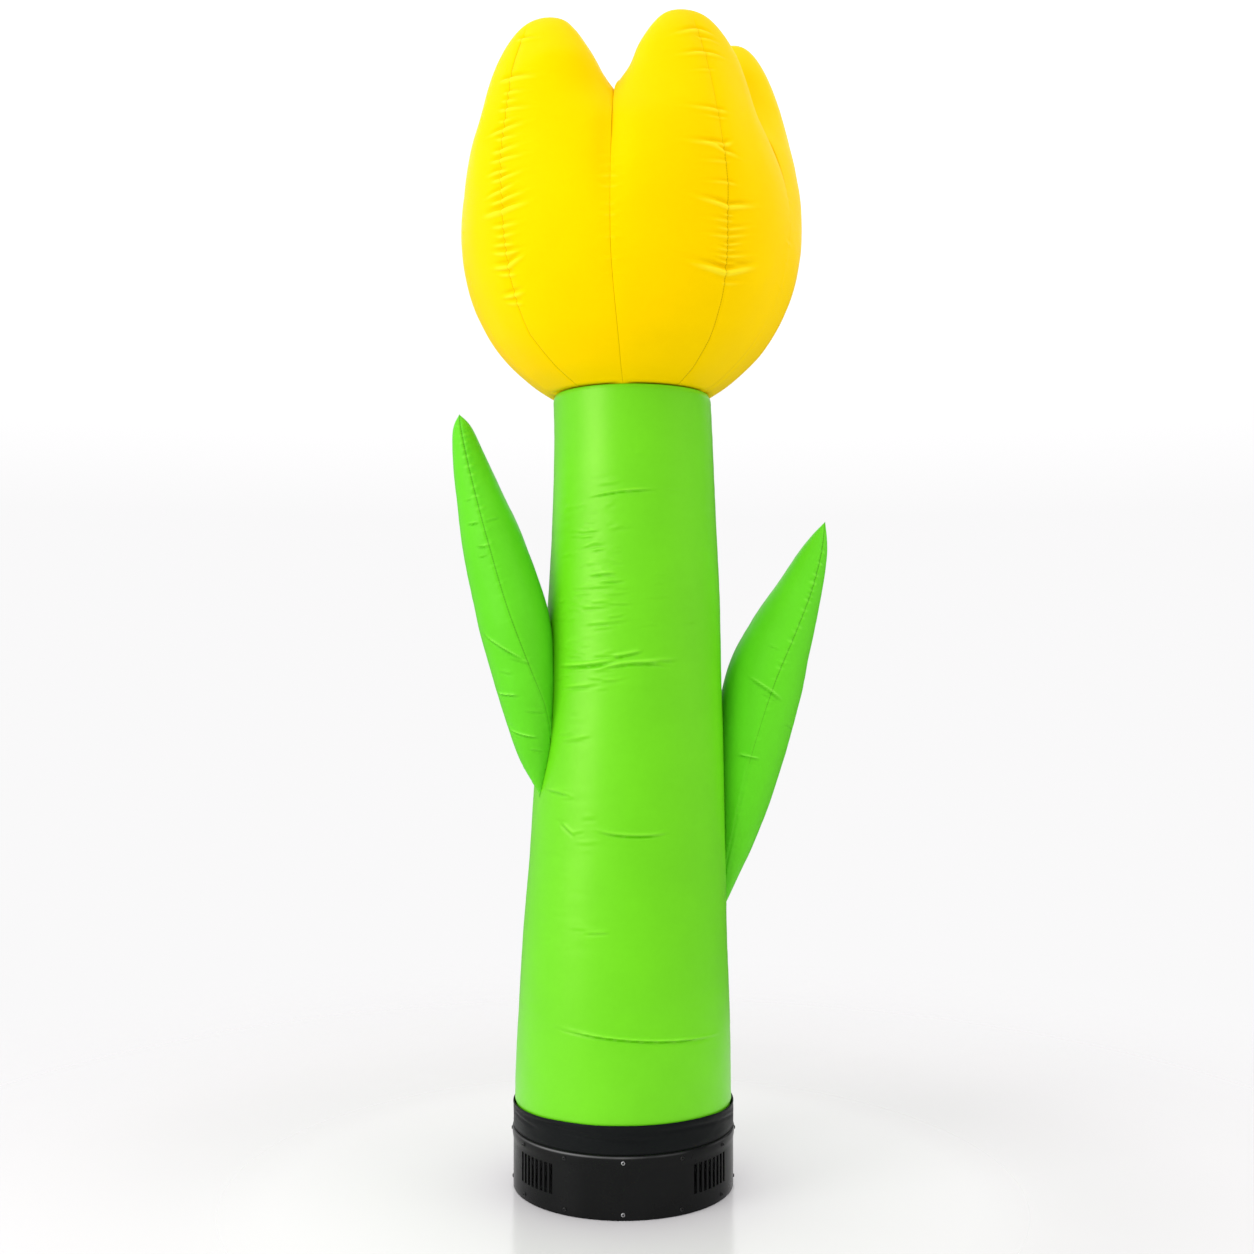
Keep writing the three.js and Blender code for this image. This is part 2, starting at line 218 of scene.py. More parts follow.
# Creases of the stem: ends as degrees from the front and height; bow, depth, half width and lip in mm.
STEM_CREASES = table(
    "deg0 z0 deg1 z1 bow depth width lip",
    (-38, 1.3848, 20, 1.4019, 5, 2.8, 2.6, 2),
    (-29, 1.411, -6, 1.414, 0, 1.2, 4.5, 0.8),
    (-46, 1.3178, -21, 1.3208, 0, 1.6, 4, 1.1),
    (-40, 1.2888, -17, 1.2948, 0, 1.8, 4, 1.1),
    (-32, 1.23, -9, 1.2345, 3, 3.2, 3.4, 2),
    (-24, 1.2185, -4, 1.2215, 0, 2.4, 3.2, 1.5),
    (-48, 1.2047, -7, 1.2097, 0, 1.5, 4.5, 1),
    (-42, 1.1637, -11, 1.1707, 0, 1.5, 4.5, 1),
    (-37, 1.1317, 0, 1.1427, 0, 1.7, 4.5, 1.1),
    (-56, 1.0546, -6, 1.0672, -6, 4.4, 4, 3.8),
    (-24, 1.042, 26, 1.0526, 12, 3.4, 3.8, 3.2),
    (-15, 1.0686, 8, 1.0836, 0, 3.2, 3.6, 2.6),
    (4, 1.06, 30, 1.064, 2, 2.2, 3.6, 1.4),
    (-52, 1.0086, -17, 1.0176, 0, 1.7, 4.5, 1.1),
    (-48, 0.9025, -22, 0.9125, 0, 1.6, 4.5, 1.1),
    (-62, 0.8085, -33, 0.7975, 2, 3.4, 3.4, 2),
    (-43, 0.748, -31, 0.72, 0, 3, 3.2, 1.8),
    (-22, 0.7364, 26, 0.7304, -8, 3.6, 3.2, 2),
    (-24, 0.5363, -7, 0.5403, 0, 1.8, 3.2, 1),
    (-47, 0.357, 66, 0.3231, -5, 3.6, 2.6, 2.4),
)

# Patches of short streaks on the stem: how many, between which degrees and heights, and the deepest (mm).
STEM_STREAKS = table(
    "count deg0 deg1 z0 z1 depth",
    (64, -54, -6, 1.08, 1.37, 1.4),
    (16, -56, -10, 0.96, 1.1, 1.4),
    (10, -30, 8, 1.36, 1.5, 0.9),
    (22, -60, -20, 0.68, 0.96, 1.1),
    (16, -10, 60, 0.9, 1.4, 0.5),
    (18, -60, 60, 0.25, 0.7, 0.5),
    (50, 120, 240, 0.3, 1.45, 1.3),
)

# Creases of the leaves: ends as degrees around from the leaf's heading and share of the length from below.
LEAF_CREASE_COLUMNS = "deg0 share0 deg1 share1 bow depth width lip"
LEFT_LEAF_CREASES = table(
    LEAF_CREASE_COLUMNS,
    (-70, 0.44, 0, 0.33, -3, 3.6, 2.6, 3),
    (-34, 0.354, 6, 0.326, 0, 2.2, 2.2, 1.2),
    (-108, 0.273, -41, 0.257, 0, 3.2, 2.6, 2.6),
    (-66, 0.327, -34, 0.31, 0, 1.6, 2.6, 1),
    (-58, 0.221, -2, 0.209, 0, 1.6, 2.6, 1),
    (-136, 0.188, -36, 0.151, -5, 3.4, 2.6, 2.7),
    (-88, 0.128, -30, 0.117, 0, 1.8, 2.4, 1.1),
    (-30, 0.703, 4, 0.692, 0, 3.2, 2.4, 2),
    (4, 0.69, 46, 0.695, 0, 1.4, 2.8, 0.9),
    (-20, 0.641, 8, 0.627, -2, 3, 2.4, 1.8),
    (-24, 0.611, 4, 0.604, 0, 2, 2.4, 1.2),
    (-26, 0.764, 2, 0.758, 0, 1.8, 2.2, 1.1),
)
RIGHT_LEAF_CREASES = table(
    LEAF_CREASE_COLUMNS,
    (-68, 0.561, 4, 0.514, 2, 3.4, 2.6, 2.8),
    (-40, 0.53, -6, 0.512, 0, 1.8, 2.2, 1.1),
    (-64, 0.376, -16, 0.373, 0, 2.8, 2.6, 2.3),
    (-52, 0.641, -22, 0.634, 0, 1.4, 2.8, 0.9),
    (8, 0.471, 48, 0.462, 0, 1.5, 2.8, 0.9),
)
# Where the front seam of a leaf lies: degrees around, by share of the length.
LEFT_LEAF_SEAM = table("share deg", (0, -8), (0.33, -3), (0.6, 5), (0.8, 8), (1, 11))
RIGHT_LEAF_SEAM = table(
    "share deg",
    (0, -42), (0.38, -38), (0.44, -30), (0.56, -18), (0.665, -11), (0.8, -8), (1, -8),
)

# Folds of the cuff, as for the stem.
CUFF_FOLDS = table(
    "deg0 z0 deg1 z1 bow depth width lip",
    (-58, 0.172, -4, 0.158, 3, 2.4, 4.5, 1.3),
    (-40, 0.163, 22, 0.15, -3, 2, 4.5, 1.2),
    (-84, 0.162, -44, 0.152, 2, 1.6, 4, 0.9),
    (10, 0.164, 64, 0.16, 3, 1.4, 4.5, 0.9),
    (56, 0.165, 88, 0.15, 0, 1.8, 4, 1),
    (104, 0.152, 154, 0.163, 3, 1.8, 5, 1),
    (-164, 0.16, -112, 0.15, 3, 1.8, 5, 1),
    (158, 0.164, 205, 0.154, 2, 1.6, 4, 0.9),
)


# Curves and fields
def smooth(rows, column, place):
    """Smooth value of one column at places from 0 (first row) to 1 (last row)."""
    values = rows[column]
    at = np.clip(place, 0, 1) * (len(values) - 1)
    row = np.minimum(np.floor(at).astype(int), len(values) - 2)
    before, start, end, after = (values[np.clip(row + k, 0, len(values) - 1)] for k in (-1, 0, 1, 2))
    t = at - row
    slope, end_slope = (end - before) / 2, (after - start) / 2
    cubic = 2 * start - 2 * end + slope + end_slope
    square = 3 * end - 3 * start - 2 * slope - end_slope
    return ((cubic * t + square) * t + slope) * t + start


def ease(x, low, high):
    """0 below low, 1 above high, smooth between."""
    t = np.clip((x - low) / (high - low), 0, 1)
    return t * t * (3 - 2 * t)


def fall(x, low, high):
    """1 below low, 0 above high, smooth between."""
    return ease(-x, -high, -low)


def bell(x):
    return np.exp(-x * x)


def signed_degrees(degrees):
    return (degrees + 180) % 360 - 180


def running_sum(steps):
    return np.concatenate([[0], np.cumsum(steps)])


def noise(u, v, seed, wrap=LATTICE):
    """Smooth noise from -1 to 1 over cells of size 1; it repeats after wrap cells along u."""
    lattice = np.random.default_rng(seed).uniform(-1, 1, (wrap, LATTICE))
    i, j = np.floor(u).astype(int), np.floor(v).astype(int)
    a, b = ease(u - i, 0, 1), ease(v - j, 0, 1)
    i, next_i = i % wrap, (i + 1) % wrap
    j, next_j = j % LATTICE, (j + 1) % LATTICE
    below = lattice[i, j] * (1 - a) + lattice[next_i, j] * a
    above = lattice[i, next_j] * (1 - a) + lattice[next_i, next_j] * a
    return below * (1 - b) + above * b


def path_at(rows, columns, places):
    """Points of the smooth path through the named columns."""
    return np.stack([smooth(rows, column, places) for column in columns], -1)


def even_places(rows, columns, count):
    """Places along a table at even steps of the path through the named columns, and the path's length."""
    place = np.linspace(0, 1, PATH_STEPS)
    path = path_at(rows, columns, place)
    run = running_sum(np.linalg.norm(np.diff(path, axis=0), axis=1))
    return np.interp(np.linspace(0, run[-1], count), run, place), run[-1]


def gathered_places(low, high, count, centres, reach, gain):
    """Places from low to high that lie closer together near the centres."""
    fine = np.linspace(low, high, FINE_STEPS)
    weight = 1 + gain * np.minimum(sum(bell((fine - c) / reach) for c in centres), 1)
    run = running_sum((weight[1:] + weight[:-1]) / 2)
    return np.interp(np.linspace(0, run[-1], count), run, fine)


def crease(u, v, start, end, row):
    """A soft trough with a lip beside it, along a bowed line between two points of the flat cloth."""
    du, dv = end[0] - start[0], end[1] - start[1]
    length = math.hypot(du, dv)
    t = ((u - start[0]) * du + (v - start[1]) * dv) / length ** 2
    across = ((v - start[1]) * du - (u - start[0]) * dv) / length / MM
    across = across * (1 if du > 0 else -1) - row["bow"] * 4 * t * (1 - t)
    ends = ease(t, 0, CREASE_END) * ease(1 - t, 0, CREASE_END)
    width = CREASE_WIDTH * row["width"]
    trough = row["depth"] * bell(across / width)
    lip = CREASE_LIP * row["lip"] * bell((across - LIP_OFFSET * width) / (LIP_WIDTH * width))
    return ends * (lip - trough) * MM


def wrapped_crease(angle, z, radius, row):
    """A crease around a tube, between two ends given as degrees from the front and heights."""
    middle = math.radians((row["deg0"] + row["deg1"]) / 2)
    turn = (angle - middle + math.pi) % (2 * math.pi) - math.pi + middle
    start = math.radians(row["deg0"]) * radius, row["z0"]
    end = math.radians(row["deg1"]) * radius, row["z1"]
    return crease(turn * radius + 0 * z, z, start, end, row)


def pucker_field(aside, z, rows):
    """Troughs and lips across a seam, deepest near it. aside is the distance to the right of the seam."""
    total = np.zeros_like(aside)
    right = aside > 0
    at_seam = 1 - PUCKER_SEAM_LOSS * bell(aside / (3 * MM))
    for row in rows_of(rows):
        reach = PUCKER_REACH * np.where(right, row["right"], row["left"]) * MM
        slope = np.where(right, row["right_slope"], row["left_slope"])
        across = (z - row["z"] - slope * aside) / MM
        width = row["width"]
        trough = PUCKER_TROUGH * row["depth"] * bell(across / width)
        lip = PUCKER_LIP * row["depth"] * bell((across + LIP_OFFSET * width) / (LIP_WIDTH * width))
        total += bell(aside / reach) * at_seam * (lip - trough) * MM
    return total


def scattered_puckers(seed, low, high, longest, deepest, step):
    """A row of uneven puckers between two heights."""
    rng = np.random.default_rng(seed)
    rows = []
    z = low
    while z < high:
        long = rng.uniform(0.35, 1, 2) * longest
        deep = rng.uniform(0.35, 1) * deepest
        wide = rng.uniform(2.8, 4.2)
        slope = rng.uniform(-0.2, 0.2)
        rows.append((z, *long, deep, wide, slope, slope))
        z += rng.uniform(0.6, 1.7) * step
    return table(PUCKER_COLUMNS, *rows)


def stem_at(z):
    """Radius and sideways lean of the stem at any height."""
    place = np.linspace(0, 1, STEM_STEPS)
    heights = smooth(STEM_ROWS, "z", place)
    return tuple(np.interp(z, heights, smooth(STEM_ROWS, column, place)) for column in ("radius", "lean"))


# Meshes
def unit(vectors):
    return vectors / np.maximum(np.linalg.norm(vectors, axis=-1, keepdims=True), 1e-12)


def around(points):
    """Outward unit normals of rows of closed rings."""
    across = np.roll(points, -1, 1) - np.roll(points, 1, 1)
    return unit(np.cross(across, np.gradient(points, axis=0)))


def new_object(name, points, faces, sharp_deg=None):
    """A smooth object in the scene, with corners steeper than sharp_deg left crisp."""
    mesh = bpy.data.meshes.new(name)
    mesh.from_pydata(points.tolist(), [], faces)
    mesh.validate()
    mesh.shade_smooth()
    if sharp_deg:
        mesh.set_sharp_from_angle(angle=math.radians(sharp_deg))
    made = bpy.data.objects.new(name, mesh)
    bpy.context.collection.objects.link(made)
    return made


def mark(piece, name, kind, values):
    """Store values for each point of a piece under a name that its material reads."""
    layer = piece.data.attributes.new(name, kind, "POINT")
    layer.data.foreach_set("vector" if kind == "FLOAT_VECTOR" else "value", values.astype(np.float32).ravel())


def tube(name, points, ends, sharp_deg):
    """A closed object over rows of rings, with a fan to a middle point at each end."""
    rows, columns = points.shape[:2]
    number = np.arange(rows * columns).reshape(rows, columns)
    after = np.roll(number, -1, 1)
    quads = np.stack([number[:-1], after[:-1], after[1:], number[1:]], -1).reshape(-1, 4)
    first, last = rows * columns, rows * columns + 1
    fans = [(first, b, a) for a, b in zip(number[0].tolist(), after[0].tolist())]
    fans += [(last, a, b) for a, b in zip(number[-1].tolist(), after[-1].tolist())]
    return new_object(name, np.concatenate([points.reshape(-1, 3), ends]), quads.tolist() + fans, sharp_deg)


def skin(name, points, cloth, fold, ends=None):
    """A tube of cloth, with what its material reads.

    cloth holds each point's distance to the right of the middle seam, its run along the piece and its
    distance from an edge or back seam, in metres; fold is the height of its creases.
    """
    made = tube(name, points, ends or [points[0].mean(0), points[-1].mean(0)], SKIN_SHARP_DEG)
    cloth = np.concatenate([cloth.reshape(-1, 3), [cloth[0].mean(0), cloth[-1].mean(0)]])
    mark(made, "cloth", "FLOAT_VECTOR", cloth)
    mark(made, "fold", "FLOAT", np.append(np.clip(-fold / FOLD_FULL, -1, 1), (0, 0)))
    return made


# Petals
FRONT_RINGS, BACK_RINGS = 400, 230
# Columns from the midrib to an edge seam, and behind it.
PETAL_OUTER, PETAL_INNER = 62, 12
# Shares of the way up a petal that its rings gather around.
GATHERED_SHARES = np.arange(0.24, 0.90, 0.05)
MIDRIBS = {0: LEFT_MIDRIB, 1: RIGHT_MIDRIB}
HAND_PUCKERS = {0: LEFT_PUCKERS, 1: RIGHT_PUCKERS}
# A midrib lies in a wide channel, with its stitches drawn in further.
CHANNEL_DEPTH, CHANNEL_HALF = 2.2 * MM, 13 * MM
STITCH_DEPTH, STITCH_HALF = 1.5 * MM, 2.4 * MM
# How much thinner the line of a midrib seam gets, by petal, and between which heights.
FADED_SEAM, SEAM_FADES = {1: 2.5}, (2.00, 2.10)
# Extra fullness (mm) of one half of a petal around a height: side -1 is left of its midrib, 1 is right.
FULLNESS = table(
    "petal side z spread extra",
    (0, -1, 2.09, 0.11, 10),
    (0, 1, 2.215, 0.03, 4.5),
    (1, -1, 2.225, 0.085, -7.5),
    (1, 1, 2.15, 0.12, -5),
)
# Edges of petals, by index, that run on into the next petal without a valley: -1 left, 1 right.
SMOOTH_EDGES = {0: -1, 1: 1, 2: -1, 4: 1}
EDGE_SLOPE, EDGE_ROUND, EDGE_SOFT = 0.12, 60 * MM, 0.4 * MM
# Heights over which edges stop running on, stop being held by their neighbours, and show a finer seam.
EDGE_JOINED, EDGE_HELD, EDGE_FINER = (1.93, 2.06), (2.16, 2.20), (1.90, 1.96)
# The open valleys: depth, reach, and heights over which they come in and go out.
VALLEY_DEPTH, VALLEY_REACH = 9 * MM, 30 * MM
VALLEY_IN, VALLEY_OUT = (1.86, 2.04), (2.05, 2.15)
# The valley between the front petals bends a little to the left.
BEND_DEG, BEND_SPREAD_DEG, BEND = -5.2, 14, -7.5 * MM
BEND_IN, BEND_FROM_AXIS = (1.66, 1.86), (0.05, 0.15)


def ray_to_oval(start, cos, sin, centre, thick, wide):
    """Length of a ray from a point on a petal's middle plane out to the oval outline of its pod."""
    square = cos ** 2 / thick ** 2 + sin ** 2 / wide ** 2
    double = 2 * (start - centre) * cos / thick ** 2
    rest = (start - centre) ** 2 / thick ** 2 - 1
    return (-double + np.sqrt(np.maximum(double * double - 4 * square * rest, 0))) / (2 * square)


def petal_base(rise, reach, places):
    """Rings of a petal whose midrib points along +X: columns out to each edge seam, then behind it."""
    z = smooth(PETAL_ROWS, "z", places)
    weight = ease(z, BELLY_Z, TIP_Z)
    thick, wide = (np.maximum(smooth(PETAL_ROWS, c, places), 1e-5) for c in ("thick", "wide"))
    centre = smooth(PETAL_ROWS, "crown", places) - thick + reach * weight
    side_cos, side_sin = math.cos(PETAL_HALF_SPAN), math.sin(PETAL_HALF_SPAN)
    apex = PETAL_GAP / 2 / side_sin
    # Where the round pod meets the flat side that it shares with its neighbour.
    run = ray_to_oval(apex, side_cos, side_sin, centre, thick, wide)
    middle = (np.maximum(centre - thick, apex) + centre + thick) / 2
    seam = np.arctan2(run * side_sin, apex + run * side_cos - middle)[:, None]
    share = np.linspace(0, 1, PETAL_OUTER + 1)[1:]
    share = 0.5 * share + 0.5 * share ** 2.2
    back = np.linspace(0, 1, PETAL_INNER + 1)[1:-1]
    half = np.concatenate([seam * share, seam + (math.pi - seam) * back], 1)
    front = np.zeros((len(places), 1))
    angle = np.concatenate([front, half, front + math.pi, -half[:, ::-1]], 1)
    cos, sin = np.cos(angle), np.sin(angle)
    middle, centre, thick, wide = (v[:, None] for v in (middle, centre, thick, wide))
    pod = ray_to_oval(middle, cos, sin, centre, thick, wide)
    slant = np.abs(sin) - cos * side_sin / side_cos
    flat = np.where(slant > TINY, (middle - apex) * side_sin / side_cos / np.maximum(slant, TINY), FAR)
    near, far = np.minimum(pod, flat), np.maximum(pod, flat)
    blend = np.minimum(EDGE_SOFT, 0.2 * thick)
    radius = near - blend * np.log1p(np.exp(-(far - near) / blend))
    height = np.broadcast_to((z + rise * weight)[:, None], radius.shape)
    return np.stack([middle + radius * cos, radius * sin, height], -1)


def around_petal(points):
    """Run around a petal to the right of its middle, distance from an edge seam, and whether it's outside."""
    columns = points.shape[1]
    step = np.linalg.norm(np.roll(points, -1, 1) - points, axis=-1)
    run = np.cumsum(step, 1) - step
    run = np.where(np.arange(columns) > columns // 2, run - step.sum(1, keepdims=True), run)
    edge = np.abs(run[:, PETAL_OUTER])[:, None]
    return run, np.abs(np.abs(run) - edge), np.abs(run) <= edge + TINY


def placed_petal(points, z, azimuth):
    """A petal turned to its place on the head, with the front valley bent."""
    angle = math.radians(azimuth - 90)
    x, y = points[..., 0], points[..., 1]
    placed = points.copy()
    placed[..., 0] = HEAD_X + x * math.cos(angle) - y * math.sin(angle)
    placed[..., 1] = x * math.sin(angle) + y * math.cos(angle)
    heading = np.degrees(np.arctan2(placed[..., 0] - HEAD_X, -placed[..., 1]))
    from_axis = np.hypot(placed[..., 0] - HEAD_X, placed[..., 1])
    bent = bell((heading - BEND_DEG) / BEND_SPREAD_DEG) * ease(from_axis, *BEND_FROM_AXIS)
    placed[..., 0] += BEND * bent * ease(z, *BEND_IN)
    return placed


def make_petal(index, row):
    rings = FRONT_RINGS if index in HAND_PUCKERS else BACK_RINGS
    shares = gathered_places(0, 1, rings + 1, GATHERED_SHARES, reach=0.05, gain=1.5)[:-1]
    even = even_places(PETAL_ROWS, ("z", "crown"), PATH_STEPS)[0]
    points = petal_base(row["rise"], row["reach"], np.interp(shares, np.linspace(0, 1, PATH_STEPS), even))
    z = points[..., 2]
    run_around, from_edge, outside = around_petal(points)
    side = np.sign(run_around)
    midrib = MIDRIBS.get(index, PLAIN_MIDRIB)
    aside = run_around - np.interp(z, midrib["z"], midrib["aside"]) * MM
    puckers = HAND_PUCKERS.get(index)
    if not puckers:
        puckers = scattered_puckers(PETAL_SEED + index, 1.75, 2.22, longest=48, deepest=4.4, step=0.024)
    low, top = puckers["z"].min(), puckers["z"].max()
    on_seam = fall(z, top, top + 0.03)
    fold = pucker_field(aside, z, puckers)
    # Short gathers along the edge seams.
    for edge in (1, -1):
        seed = GATHER_SEED + 2 * index + edge
        gathers = scattered_puckers(seed, 1.80, 2.04, longest=24, deepest=1.7, step=0.026)
        fold += pucker_field(-np.where(side == edge, from_edge, NO_SEAM), z, gathers)
    field = fold + 0.9 * MM * noise(aside / 0.11 + 7, z / 0.16, PETAL_SWELL_SEED + index)
    field += 0.35 * MM * noise(aside / 0.035 + 9, z / 0.03, PETAL_RIPPLE_SEED + index)
    for bulge in rows_of(FULLNESS):
        if bulge["petal"] == index:
            near = bell((z - bulge["z"]) / bulge["spread"])
            field += bulge["extra"] * MM * near * ease(bulge["side"] * aside, 0, 0.09)
    field -= CHANNEL_DEPTH * bell(aside / CHANNEL_HALF) * ease(z, low - 0.03, low + 0.02) * on_seam
    field -= STITCH_DEPTH * bell(aside / STITCH_HALF) * on_seam
    # The cloth is held at its edge seams, and an edge that runs on into the next petal is filled out.
    smooth_side = SMOOTH_EDGES.get(index, 0)
    joined = np.where(side == smooth_side, fall(z, *EDGE_JOINED), 0)
    held = fall(z, *EDGE_HELD)
    field *= 1 - 0.8 * bell(from_edge / (3 * MM)) * held
    field += 0.5 * EDGE_SLOPE * EDGE_ROUND * np.clip(1 - from_edge / EDGE_ROUND, 0, 1) ** 2 * joined
    # The open valleys are pressed in below the notch.
    pressed = VALLEY_DEPTH * bell(from_edge / VALLEY_REACH) * ease(z, *VALLEY_IN) * fall(z, *VALLEY_OUT)
    field -= np.where((side != smooth_side) & outside, pressed, 0)
    # The ends and the inner side stay plain, and the neck is drawn in.
    run = running_sum(np.linalg.norm(np.diff(points[:, 0], axis=0), axis=1))[:, None] + 0 * z
    field *= ease(run, 0, 0.02) * ease(run.max() - run, 0, 0.05)
    field *= np.where(outside, 1, fall(from_edge, 0, 0.03))
    field -= 3.5 * MM * bell(run / (4 * MM))
    # Near an edge the cloth moves along the flat side that it shares with its neighbour.
    radial = unit(points * (1, 1, 0))
    by_edge = (bell(from_edge / (8 * MM)) * held)[..., None]
    points = points + (around(points) * (1 - by_edge) + radial * by_edge) * field[..., None]
    points = placed_petal(points, z, row["azimuth"])
    thinner = 1 + FADED_SEAM.get(index, 0) * ease(z, *SEAM_FADES)
    seam_line = np.where(z < top + 5 * MM, aside * thinner, NO_SEAM)
    edge_line = from_edge + (0.8 + 2 * ease(z, *EDGE_FINER)) * MM + joined
    cloth = np.stack([seam_line, run, edge_line], -1)
    piece = skin(f"petal_skin_{index + 1}", points, cloth, fold)
    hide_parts(f"petal_{index + 1}")
    return piece


# Stem
STEM_RINGS, STEM_COLUMNS = 408, 240
# Heading that the columns gather around, where most of the creases are.
STEM_BUSY_DEG = -18
BACK_CREASES = 16
# Where each leaf is sewn on: degrees from the front, and the heights of its two ends.
LEAF_SEATS = table("deg low high", (-65, 0.78, 1.30), (100, 0.53, 1.12))


def streak(rng, middle, wide, height, deep, rise, bow, widths, lip):
    """A row for one crease around the stem, with a seeded rise (m), bow and half width (mm)."""
    ends = dict(deg0=middle - wide, z0=height, deg1=middle + wide, z1=height + rng.uniform(*rise))
    return dict(ends, bow=rng.uniform(-bow, bow), depth=deep, width=rng.uniform(*widths), lip=lip * deep)


def seeded_creases():
    """Short streaks in the patches of the stem that have them, and longer creases up its back."""
    rng = np.random.default_rng(STEM_SEED)
    rows = []
    for patch in rows_of(STEM_STREAKS):
        for _ in range(int(patch["count"])):
            middle, wide = rng.uniform(patch["deg0"], patch["deg1"]), rng.uniform(4, 11)
            height, deep = rng.uniform(patch["z0"], patch["z1"]), rng.uniform(0.35, 1) * patch["depth"]
            rows.append(streak(rng, middle, wide, height, deep, (-0.003, 0.008), 2, (2.8, 4.6), 0.8))
    for k in range(BACK_CREASES):
        middle, wide = rng.uniform(122, 238), rng.uniform(10, 26)
        height = 0.26 + 1.28 * (k + rng.uniform(0.2, 0.8)) / BACK_CREASES
        deep = rng.uniform(1.2, 4.0)
        rows.append(streak(rng, middle, wide, height, deep, (-0.014, 0.014), 6, (3.2, 4.8), 0.6))
    return rows


def make_stem():
    heights = (STEM_CREASES["z0"] + STEM_CREASES["z1"]) / 2
    z = gathered_places(STEM_LOW, STEM_HIGH, STEM_RINGS, heights, reach=0.016, gain=1.6)[:, None]
    busy = [math.radians(STEM_BUSY_DEG)]
    angle = gathered_places(-math.pi, math.pi, STEM_COLUMNS + 1, busy, reach=0.9, gain=1.0)[None, :-1]
    radius, lean = stem_at(z)
    # The cloth is drawn in behind the cuff and at the seam under the flower.
    drawn = radius - 3 * MM * fall(z, CUFF_HIGH - 10 * MM, CUFF_HIGH - 2 * MM)
    drawn = drawn - 3 * MM * bell((STEM_HIGH - z) / (5 * MM))
    points = np.stack([lean + drawn * np.sin(angle), -drawn * np.cos(angle), z + 0 * angle], -1)
    flat_z = points[..., 2]
    fold = np.zeros_like(flat_z)
    for row in rows_of(STEM_CREASES) + seeded_creases():
        at = float(stem_at((row["z0"] + row["z1"]) / 2)[0])
        fold += wrapped_crease(angle, flat_z, at, row)
    cells = angle / (2 * math.pi) + 0.5
    field = fold + 0.25 * MM * noise(cells * 26, flat_z / 0.015, STEM_RIPPLE_SEED, wrap=26)
    field += 1.1 * MM * noise(cells * 7, flat_z / 0.17, STEM_SWELL_SEED, wrap=7)
    from_back = (math.pi - np.abs(angle)) * radius
    field -= 1.6 * MM * bell(from_back / (3 * MM))
    # Nothing bulges where a leaf is sewn on.
    for seat in rows_of(LEAF_SEATS):
        near = bell((np.degrees(angle) - seat["deg"]) / 24)
        near = near * ease(flat_z, seat["low"] - 0.03, seat["low"] + 0.03)
        near = near * fall(flat_z, seat["high"], seat["high"] + 0.05)
        field = np.where(field > 0, field * (1 - near), field)
    field *= ease(z, CUFF_HIGH - 12 * MM, CUFF_HIGH + 14 * MM) * fall(z, STEM_HIGH - 16 * MM, STEM_HIGH)
    points = points + around(points) * field[..., None]
    cloth = np.stack([NO_SEAM + np.abs(angle) * radius, flat_z, from_back + 0 * flat_z], -1)
    piece = skin("stem_skin", points, cloth, fold)
    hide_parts("stem")
    return piece


# Leaves
LEAF_RINGS, LEAF_SIDES = 300, 128
# Both seams stand on a ridge, with the stitches drawn in.
LEAF_RIDGE, LEAF_RIDGE_REACH = 5.5 * MM, 18 * MM
LEAF_STITCH, LEAF_STITCH_HALF = 2.4 * MM, 1.8 * MM
# How much thinner the line of the front seam gets towards its lower end, over a share of the length.
LEAF_SEAM_THINNING, LEAF_SEAM_FADE = 2.5, 0.22


def leaf_tube(rows, angle):
    """Rings of a leaf, its two tips, the share and half width of each ring, and the leaf's length."""
    places, length = even_places(rows, "xyz", LEAF_RINGS + 2)
    tips = [path_at(rows, "xyz", np.array([end]))[0] for end in (0.0, 1.0)]
    places = places[1:-1]
    share = np.linspace(0, 1, LEAF_RINGS + 2)[1:-1, None]
    step = 0.01
    along = unit(path_at(rows, "xyz", places + step) - path_at(rows, "xyz", places - step))
    turn = np.radians(smooth(rows, "turn", places))
    seam = np.stack([np.sin(turn), -np.cos(turn), 0 * turn], -1)
    seam = unit(seam - along * (seam * along).sum(1, keepdims=True))
    side = np.cross(along, seam)
    half = smooth(rows, "half", places)[:, None]
    across = half * LEAF_SEAM_RATIO * np.cos(angle)
    out = half * np.sin(angle)
    centre = path_at(rows, "xyz", places)[:, None]
    points = centre + across[..., None] * seam[:, None] + out[..., None] * side[:, None]
    return points, tips, share, half, length


def clear_of_stem(points):
    """Points pushed out of the stem, which flattens the side of a leaf that lies against it."""
    radius, lean = stem_at(points[..., 2])
    from_axis = np.hypot(points[..., 0] - lean, points[..., 1])
    pushed = np.maximum(1, (radius + 2 * GAP) / np.maximum(from_axis, TINY))
    x = lean + (points[..., 0] - lean) * pushed
    return np.stack([x, points[..., 1] * pushed, points[..., 2]], -1)


